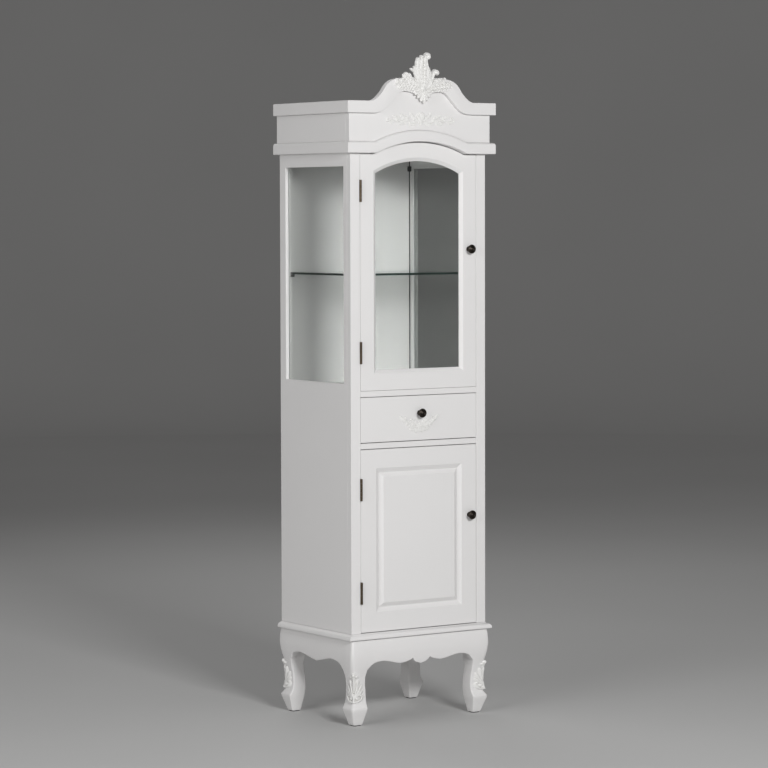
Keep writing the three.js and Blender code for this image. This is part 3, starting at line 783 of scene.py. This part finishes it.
    def spray(self, path, leaf, height, count):
        """Short blunt petals in pairs along a stem, with a bud at each joint."""
        line = self.curve(path, 4 * count + 1)
        for i in range(count):
            k = 4 * i + 2
            along = (line[k + 1] - line[k - 1]).normalized()
            for side in (-1, 1):
                across = Vector((-along.y, along.x)) * side
                bow = line[k] + (along * 0.2 + across * 0.45) * leaf
                tip = line[k] + (along * 0.62 + across * 0.78) * leaf
                self.finger([line[k], bow, tip], leaf * 0.62, height * 0.92, lift=0.5,
                            groove=0.4, round_tip=0.35)
            self.dome(line[k].x, line[k].y, leaf * 0.27, height)

    def make(self, name, place, voxel, body, replaces=(), hollow=0.06):
        """Fuses the fingers, smooths them like a sanded carving and marks the hollows for painted
        shade.
        """
        mesh = mesh_of(name, [place(*p) for p in self.points], self.faces)
        mesh.validate()
        piece = linked(name, mesh)
        fuse = piece.modifiers.new("fuse", "REMESH")
        fuse.mode = "VOXEL"
        fuse.voxel_size = voxel * MM
        fuse.adaptivity = 0
        soften = piece.modifiers.new("soften", "SMOOTH")
        soften.factor = 0.5
        soften.iterations = 3
        graph = bpy.context.evaluated_depsgraph_get()
        carved = bpy.data.meshes.new_from_object(piece.evaluated_get(graph))
        piece.modifiers.clear()
        piece.data = carved
        carved.name = name
        carved.materials.clear()
        carved.materials.append(FINISHES["carved_paint"])
        # The hollow mark sets where the paint is darkened as painted shade.
        mark_curvature(carved, "hollow", -1, hollow)
        carved.shade_smooth()
        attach(piece, body)
        if replaces:
            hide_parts(*replaces)


def mark_curvature(mesh, name, sign, scale, passes=3):
    """Stores how hollow (sign -1) or how proud (sign 1) the skin is at each vertex."""
    count = len(mesh.vertices)
    spots = np.empty(count * 3, np.float32)
    normals = np.empty(count * 3, np.float32)
    mesh.vertices.foreach_get("co", spots)
    mesh.vertices.foreach_get("normal", normals)
    spots, normals = spots.reshape(-1, 3), normals.reshape(-1, 3)
    edges = np.empty(len(mesh.edges) * 2, np.int32)
    mesh.edges.foreach_get("vertices", edges)
    first, second = edges.reshape(-1, 2).T
    degree = np.bincount(edges, minlength=count).clip(1)

    def around(values):
        total = np.zeros_like(values)
        np.add.at(total, first, values[second])
        np.add.at(total, second, values[first])
        return total / (degree[:, None] if values.ndim == 2 else degree)

    bend = ((spots - around(spots)) * normals).sum(1) * sign / (scale * MM)
    for _ in range(passes):
        bend = 0.5 * bend + 0.5 * around(bend)
    layer = mesh.attributes.new(name, "FLOAT", "POINT")
    layer.data.foreach_set("value", np.clip(bend, 0, 1).astype(np.float32))


def flat_place(surface_y):
    """Lays a carving on the upright surface at surface_y, facing forwards."""
    return lambda x, z, h: (x, surface_y - h, z)


def make_crest():
    """Rocaille crest: a flame-like plume, a volute, two leafy wings and a pendant."""
    back = high("crest_carving").y
    deep = back - low("crest_carving").y - 0.6
    c = Carving(deep)
    # ground under the leaves
    c.finger([(-88, 1777), (-50, 1773), (0, 1766)], 30, 0.3, groove=0)
    c.finger([(96, 1773), (52, 1773), (0, 1766)], 28, 0.3, groove=0)
    c.finger([(-3, 1756), (-7, 1800), (-5, 1836)], 42, 0.5, groove=0, root=0.9)
    c.finger([(-1, 1780), (1, 1755), (2, 1735)], 38, 0.34, groove=0, root=0.9)
    # left wing
    for tip, width, rise in (((-71, 1802), 13, 0.66), ((-62, 1808), 14, 0.74),
                             ((-52, 1806), 13, 0.8)):
        bend = (0.5 * tip[0] - 14, 0.5 * (tip[1] + 1766))
        c.finger([(-20, 1768), bend, tip], width, rise, round_tip=0.22)
    c.spray([(-24, 1766), (-56, 1774), (-94, 1781)], 12, 0.6, 7)
    c.spray([(-24, 1776), (-46, 1788), (-68, 1797)], 12, 0.78, 5)
    c.spray([(-28, 1763), (-54, 1764), (-86, 1768)], 9, 0.5, 6)
    c.rosette(-49, 1778, 9, 0.84)
    c.rosette(-74, 1784, 8, 0.68)
    # right wing
    for tip, width, rise in (((47, 1791), 12, 0.76), ((60, 1793), 12, 0.68),
                             ((73, 1789), 12, 0.6)):
        bend = (0.5 * tip[0] + 12, 0.5 * (tip[1] + 1765))
        c.finger([(18, 1768), bend, tip], width, rise, round_tip=0.22)
    c.spray([(20, 1766), (56, 1773), (100, 1775)], 11, 0.58, 7)
    c.spray([(22, 1774), (46, 1783), (76, 1786)], 11, 0.72, 5)
    c.spray([(22, 1761), (54, 1762), (86, 1766)], 9, 0.48, 6)
    c.rosette(44, 1777, 9, 0.8)
    c.rosette(69, 1780, 8, 0.66)
    # volute on the right of the plume, thorn on its left
    c.finger([(13, 1772), (25, 1785), (31, 1800), (36, 1811), (44, 1811), (46, 1804),
              (41, 1803)], 13, 0.92, groove=0.2, root=0.8, round_tip=0.2)
    c.dome(41, 1808, 7, 0.9)
    c.finger([(-14, 1792), (-29, 1810), (-46, 1818)], 11, 0.74, round_tip=0.5)
    # plume: flutes that lean outwards, with rolled tips
    for path, width, rise, roll in (
            ([(-6, 1762), (-22, 1796), (-31, 1824)], 15, 0.66, 4),
            ([(-5, 1762), (-20, 1806), (-20, 1847)], 15, 0.78, 4.5),
            ([(8, 1762), (19, 1794), (17, 1816)], 14, 0.76, 4),
            ([(5, 1762), (13, 1800), (9, 1832)], 14, 0.86, 4),
            ([(-2, 1762), (-11, 1810), (-8, 1853)], 15, 0.92, 5),
            ([(2, 1762), (2, 1810), (2, 1854)], 14, 1.0, 5)):
        c.finger(path, width, rise, groove=0.18, root=0.75, round_tip=0.16)
        c.dome(path[-1][0], path[-1][1] - 2, roll, rise + 0.05)
    c.finger([(6, 1800), (9, 1824), (6, 1844), (9, 1856), (16, 1857), (20, 1849)], 15, 1,
             groove=0.2, root=0.8, round_tip=0.3)
    c.dome(14, 1851, 9, 1)
    c.spray([(-6, 1772), (-16, 1804), (-21, 1836)], 9, 0.95, 5)
    c.spray([(2, 1774), (0, 1806), (-3, 1842)], 9, 1.1, 6)
    c.spray([(8, 1772), (14, 1796), (12, 1824)], 8, 1, 5)
    # heart
    for side in (-1, 1):
        c.finger([(side * 6, 1762), (side * 18, 1772), (side * 23, 1790)], 11, 0.95,
                 round_tip=0.3)
        c.dome(side * 21 - 2, 1757, 4.5, 0.8)
    # pendant
    for tip, rise in (((-29, 1746), 0.46), ((-19, 1736), 0.54), ((-8, 1727), 0.62),
                      ((3, 1722), 0.7), ((14, 1728), 0.62), ((24, 1738), 0.54),
                      ((30, 1750), 0.46)):
        c.finger([(0, 1764), (0.5 * tip[0], 0.5 * (1762 + tip[1])), tip], 10, rise,
                 groove=0.25, round_tip=0.3)
    c.spray([(0, 1762), (2, 1746), (3, 1730)], 8, 0.8, 4)
    c.spray([(0, 1762), (-12, 1751), (-22, 1742)], 7, 0.62, 3)
    c.spray([(0, 1762), (12, 1751), (22, 1743)], 7, 0.62, 3)
    c.rosette(-3, 1764, 12, 1.1, (8, 6, 4))
    c.make("crest_carved", flat_place(back), 0.75, "cabinet", ["crest_carving"], hollow=0.09)


def make_frieze_garland():
    """A wavy stem of leaves on each side of a tall fluted shell."""
    back = high("frieze_garland").y
    deep = (back - low("frieze_garland").y) * 0.78
    c = Carving(deep)
    for side in (-1, 1):
        def to(*spots):
            return [(side * x, z) for x, z in spots]

        c.finger(to((4, 1674), (30, 1669), (58, 1677), (84, 1672), (118, 1681)), 5.5, 0.66,
                 groove=0)
        c.frond(to((12, 1676), (27, 1687), (38, 1697)), 17, 0.95, 3, 42, 0.42)
        c.frond(to((38, 1672), (54, 1684), (71, 1691)), 15, 0.85, 3, 42, 0.38)
        c.frond(to((46, 1675), (60, 1668), (77, 1665)), 13, 0.8, 3, 42, 0.4)
        c.frond(to((70, 1677), (84, 1684), (98, 1686)), 13, 0.8, 3, 42, 0.4)
        c.frond(to((88, 1673), (103, 1671), (118, 1679)), 12, 0.7, 3, 40, 0.38)
        c.frond(to((12, 1670), (27, 1665), (41, 1664)), 13, 0.75, 3, 42, 0.4)
        c.rosette(side * 45, 1681, 8, 1)
        for x, z in ((62, 1677), (80, 1677), (106, 1683), (112, 1673)):
            c.dome(side * x, z, 3.2, 0.85)
    for lean in (-42, -25, -8, 8, 25, 42):
        angle = math.radians(lean)
        reach = 27 - abs(lean) * 0.12
        tip = (reach * math.sin(angle), 1674 + reach * math.cos(angle))
        c.finger([(0, 1664), (tip[0] * 0.45, 1681), tip], 9, 1, groove=-0.1, round_tip=0.3)
    for lean in (-52, 0, 52):
        angle = math.radians(lean)
        c.finger([(0, 1676), (11 * math.sin(angle), 1676 - 14 * math.cos(angle))], 9, 0.85,
                 round_tip=0.35)
    c.dome(0, 1673, 5, 1)
    c.make("frieze_garland_carved", flat_place(back), 0.6, "cabinet", ["frieze_garland"])


def make_drawer_garland():
    """A rose with a leafy branch rising on each side."""
    back = high("drawer_garland").y
    deep = back - low("drawer_garland").y - 0.3
    c = Carving(deep)
    for side in (-1, 1):
        def to(*spots):
            return [(side * x, z) for x, z in spots]

        c.frond(to((8, 824), (36, 833), (67, 857)), 19, 0.85, 5, 42, 0.22)
        c.frond(to((8, 830), (22, 841), (33, 848)), 14, 0.8, 3, 42, 0.4)
        c.frond(to((6, 820), (20, 816), (35, 821)), 14, 0.75, 3, 42, 0.36)
        c.finger(to((1, 820), (8, 813), (17, 812)), 9, 0.7)
        c.rosette(side * 25, 829, 7.5, 0.95, (5, 3))
        for x, z in ((47, 850), (43, 835), (34, 826)):
            c.dome(side * x, z, 3.2, 0.85)
    c.finger([(0, 822), (0, 815), (-1, 810)], 10, 0.75)
    c.rosette(1, 827, 13.5, 1, (8, 6, 4))
    c.make("drawer_garland_carved", flat_place(back), 0.55, "drawer", ["drawer_garland"])


def arris_drop(lateral, radius):
    """How far a rounded square corner falls short of a sharp one, seen along its diagonal."""
    half = radius / math.sqrt(2)
    if abs(lateral) > half:
        return abs(lateral)
    return (half * half + lateral * lateral) / (2 * half)


def make_leg_carving(side, end):
    """An acanthus leaf on the leg's outer corner: fanned ribs, a curled tip, a scrolled foot."""
    node, centre_x, centre_y = leg_centre(side, end)
    c = Carving()
    c.finger([(0, 66), (0, 100), (0, 134)], 38, 1.4, groove=0, root=0.9)
    for lean in (-1, 1):
        for x, z in ((21.5, 101), (20, 117), (12.5, 130)):
            c.finger([(lean * 2.5, 80), (lean * x * 0.62, 0.5 * (82 + z) - 3), (lean * x, z)],
                     8.2, 8, lift=-0.05, groove=0.1, round_tip=0.35, root=0.75)
        c.finger([(lean * 2, 68.5), (lean * 11, 69.5), (lean * 18.5, 75), (lean * 22, 86)], 7,
                 8.6, lift=0, groove=0, root=0.9, round_tip=0.3)
        c.dome(lean * 9.5, 78.5, 5.6, 9.4)
        c.dome(lean * 17, 86, 4.2, 7.6)
    c.finger([(0, 67), (0, 78), (0, 92)], 10, 9.6, lift=0, groove=0, root=0.9)
    c.finger([(0, 94), (0, 114), (0, 134)], 10, 7.6, lift=0, groove=-0.1, root=0.4)
    c.finger([(0, 124), (0, 137), (0, 149)], 16, 8.4, lift=0.6, groove=-0.15, round_tip=0.3)
    c.dome(0, 143, 7, 9.4)
    c.dome(-8.5, 139, 4.2, 6.4)
    c.dome(8.5, 139, 4.2, 6.4)

    def place(lateral, z, h):
        away = leg_out(z) * math.sqrt(2) - arris_drop(lateral, outer_round(z)) + h - 0.3
        across = (away * side + lateral * end) / math.sqrt(2)
        along = (away * end - lateral * side) / math.sqrt(2)
        return centre_x + across, centre_y + along, z

    c.make(f"{node}_carved_leaf", place, 0.6, "cabinet")


make_crest()
make_frieze_garland()
make_drawer_garland()
for side in (-1, 1):
    for end in (-1, 1):
        make_leg_carving(side, end)

# Knobs, glass

# Radius and distance from the door, from the washer to the middle of the face.
KNOB_PROFILE = [
    (0, 0), (6.6, 0), (7.2, 0.5), (7.2, 1.6), (6.4, 2.4), (4.6, 3.2), (3.9, 4.6), (3.8, 8.2),
    (4.6, 10), (7, 11.8), (10.2, 13), (12.1, 14.2), (12.8, 15.6), (12.8, 16.8),
    (12.2, 18.3), (11.2, 19.3), (10.2, 19.9), (9.4, 20.0), (8.9, 19.3), (8.2, 18.9),
    (7.4, 19.2), (6.8, 19.8), (6.0, 20.0), (5.3, 19.6), (4.7, 19.2), (3.9, 19.5),
    (3.0, 20.3), (1.6, 20.8), (0, 21),
]


def make_knob(node, body):
    """A turned knob with rings on its face."""
    x = (low(node).x + high(node).x) / 2
    z = (low(node).z + high(node).z) / 2
    back = high(node).y
    around = 48
    rings = KNOB_PROFILE[1:-1]
    points = [(x + a, back - proud, z + b) for radius, proud in rings
              for a, b in circle(radius, around)]
    faces = ring_faces(len(rings), around) + [tuple(range(around))]
    tip = len(points)
    points.append((x, back - KNOB_PROFILE[-1][1], z))
    for i in range(around):
        faces.append((tip - around + i, tip - around + (i + 1) % around, tip))
    knob = new_object(f"{node}_turned", points, faces, "aged_bronze", body, [node], 50)
    # The edge mark is where the knob's rings get their painted highlight.
    mark_curvature(knob.data, "edge", 1, 0.35, passes=1)


make_knob("upper_door_knob", "upper_door")
make_knob("lower_door_knob", "lower_door")
make_knob("drawer_knob", "drawer")


def make_pane(node, thin_axis):
    """A glass sheet with its own darker edge."""
    lo, hi = low(node), high(node)
    wide, tall = (axis for axis in range(3) if axis != thin_axis)
    points = []
    for level in (lo[thin_axis], hi[thin_axis]):
        for a, b in SQUARE:
            spot = [level] * 3
            spot[wide] = hi[wide] if a > 0 else lo[wide]
            spot[tall] = hi[tall] if b > 0 else lo[tall]
            points.append(spot)
    pane = new_object(f"{node}_sheet", points, lofted(2, len(SQUARE)), "clear_glass",
                      "cabinet", [node], edge=GLASS_EDGE)
    mark_pane_edge(pane, thin_axis)
    bevel(pane, 0.5)


def mark_pane_edge(pane, thin_axis):
    """Gives a pane's narrow faces its second material."""
    for polygon in pane.data.polygons:
        polygon.material_index = 0 if abs(polygon.normal[thin_axis]) > 0.5 else 1


def make_door_pane():
    """The arched pane of the upper door, from its CAD box and the arch of its top."""
    lo, hi = low("upper_door_glass"), high("upper_door_glass")
    rise = 40.6
    xs = evenly(hi.x, lo.x, 48)
    outline = [(lo.x, lo.z), (hi.x, lo.z)]
    outline += [(x, hi.z - rise + arc_rise(x, hi.x, rise)) for x in xs]
    points = [(x, y, z) for y in (lo.y, hi.y) for x, z in outline]
    pane = new_object("upper_door_glass_sheet", points, lofted(2, len(outline)),
                      "clear_glass", "upper_door", ["upper_door_glass"], edge=GLASS_EDGE)
    mark_pane_edge(pane, 1)


make_door_pane()
make_pane("glass_shelf", 2)
make_pane("side_glass_left", 0)
make_pane("side_glass_right", 0)

# Back panel


def make_back_panel():
    """A board with a wider lip behind, which closes the gap to the side panels."""
    lo, hi = low("back_panel"), high("back_panel")
    lip_x = INNER_X - 0.2
    lip = 4
    profile = rounded([(lo.x, lo.y), (hi.x, lo.y), (hi.x, hi.y - lip), (lip_x, hi.y - lip),
                       (lip_x, hi.y), (-lip_x, hi.y), (-lip_x, hi.y - lip), (lo.x, hi.y - lip)],
                      [0.6] * 8, 3)
    middle = (lo.y + hi.y) / 2
    soft = 0.5
    stations = [(lo.z, soft), (lo.z + soft, 0), (hi.z - soft, 0), (hi.z, soft)]

    def spot(x, y, station):
        z, tuck = station
        return x - math.copysign(tuck, x), y - math.copysign(tuck, y - middle), z

    points, faces = sweep(profile, stations, spot)
    new_object("back_panel_board", points, faces, "white_paint", "cabinet",
               ["back_panel"], 30)


def make_corner_shadow_strip(side):
    """A dark bead that fills the groove between the back panel and a side: painted shade for that
    gap.
    """
    wall_x, wall_y = INNER_X - 0.1, low("back_panel").y
    profile = rounded([(0, -4), (0, 1.3), (2.9, 1.3), (2.9, 0.1), (1.8, 0.1), (1.8, -4)],
                      [0.3, 0.6, 0.9, 0.1, 0.1, 0.3], 3)
    foot, head = high("drawer_top_deck").z, low("top_panel").z
    stations = [(foot + 0.3, 0.3), (foot + 0.7, 0), (head - 0.7, 0), (head - 0.3, 0.3)]

    def spot(inwards, proud, station):
        z, tuck = station
        return side * (wall_x - inwards - tuck), wall_y - proud + tuck, z

    points, faces = sweep(profile, stations, spot)
    new_object(f"corner_shadow_strip_{hand(side)}", points, faces, "black_plastic", "cabinet")


make_back_panel()
make_corner_shadow_strip(-1)
make_corner_shadow_strip(1)

# Corner clips


def make_corner_clip(side):
    """A moulded block with a round screw boss, in an upper rear corner of the carcass."""
    wall_x, wall_y = INNER_X, low("back_panel").y
    bottom, tall, wide, deep = 1540, 15, 9, 9
    rows = []
    for z, tuck in ((0, 1.2), (0.5, 0.4), (1.4, 0), (tall - 1.4, 0), (tall - 0.5, 0.4),
                    (tall, 1.2)):
        corners = [(0.3, 0.3), (wide - tuck, 0.3), (wide - tuck, 4), (4, deep - tuck),
                   (0.3, deep - tuck)]
        rows.append([(side * (wall_x - a), wall_y - b, bottom + z)
                     for a, b in rounded(corners, [0.4, 1.4, 2.5, 1.4, 0.4], 4)])
    name = f"corner_clip_{hand(side)}"
    points, faces = stacked(rows)
    new_object(name, points, faces, "black_plastic", "cabinet")
    slope = Vector((-(deep - 4), -(wide - 4))).normalized()
    middle = Vector((wall_x - 0.5 * (wide + 4), wall_y - 0.5 * (4 + deep)))
    rows = []
    for radius, proud in ((2.6, -0.6), (2.6, 0.7), (2.2, 1.1), (1.3, 1.1), (1.1, 0.7)):
        rows.append([(side * (middle.x + slope.x * proud - slope.y * shift),
                      middle.y + slope.y * proud + slope.x * shift, bottom + tall / 2 + up)
                     for shift, up in circle(radius, 24)])
    points, faces = stacked(rows)
    new_object(f"{name}_boss", points, faces, "black_plastic", "cabinet")


make_corner_clip(-1)
make_corner_clip(1)

# Stage


def studio_mesh(name, line, material):
    """A round stage surface: (radius, height) points turned about the middle; one is a disc."""
    around = 96
    points = [(x, y, z) for radius, z in line for x, y in circle(radius, around)]
    faces = ring_faces(len(line), around) or [tuple(range(around))]
    mesh = mesh_of(name, points, faces)
    mesh.materials.append(material)
    mesh.shade_smooth()
    surface = linked(name, mesh)
    return surface


def make_stage():
    """A pale round floor, and a backdrop that sweeps up all round it and lets the light by."""
    n = Nodes("studio_sweep")
    tone = n.mix(n.span(n.noise(0.7, 2), 0, 1), (0.58, 0.58, 0.575), (0.60, 0.60, 0.595))
    shader = n.node("ShaderNodeBsdfPrincipled", Base_Color=tone, Roughness=0.8)
    material = n.finish(shader.outputs[0])
    floor_radius, bend, wall_top = 11000, 3000, 10000
    studio_mesh("studio_floor", [(floor_radius, 0)], material)
    line = [(floor_radius + bend * math.sin(t), bend - bend * math.cos(t))
            for t in evenly(0, math.pi / 2, 16)]
    backdrop = studio_mesh("studio_backdrop", line + [(floor_radius + bend, wall_top)], material)
    backdrop.visible_diffuse = False
    backdrop.visible_shadow = False


LAMP_TARGET = Vector((0, 0, 1.0))


def softbox(name, azimuth, elevation, distance, size, power):
    """A lamp aimed at the cabinet, in metres. Azimuth 0 is in front, and + is to the right."""
    data = bpy.data.lights.new(name, "AREA")
    data.shape = "RECTANGLE"
    data.size, data.size_y = size
    data.energy = power
    a, e = math.radians(azimuth), math.radians(elevation)
    away = Vector((math.sin(a) * math.cos(e), -math.cos(a) * math.cos(e), math.sin(e)))
    lamp = linked(name, data)
    lamp.location = LAMP_TARGET + away * distance
    lamp.rotation_mode = "QUATERNION"
    lamp.rotation_quaternion = away.to_track_quat("Z", "Y")


def make_lights():
    softbox("key_softbox", -12.5, 16, 5.5, (1.4, 0.7), 172)
    softbox("left_softbox", -73, 10, 4.8, (2.6, 2.6), 66)
    softbox("right_softbox", 60, 22, 5.0, (1.6, 2.2), 8)
    softbox("rear_softbox", 165, 35, 4.6, (2.4, 2.0), 26)
    world = bpy.data.worlds.new("studio")
    world.use_nodes = True
    background = world.node_tree.nodes["Background"]
    background.inputs["Color"].default_value = (1.0, 0.985, 0.98, 1)
    background.inputs["Strength"].default_value = 0.15
    bpy.context.scene.world = world
    bpy.context.scene.view_settings.view_transform = "Standard"


make_stage()
make_lights()
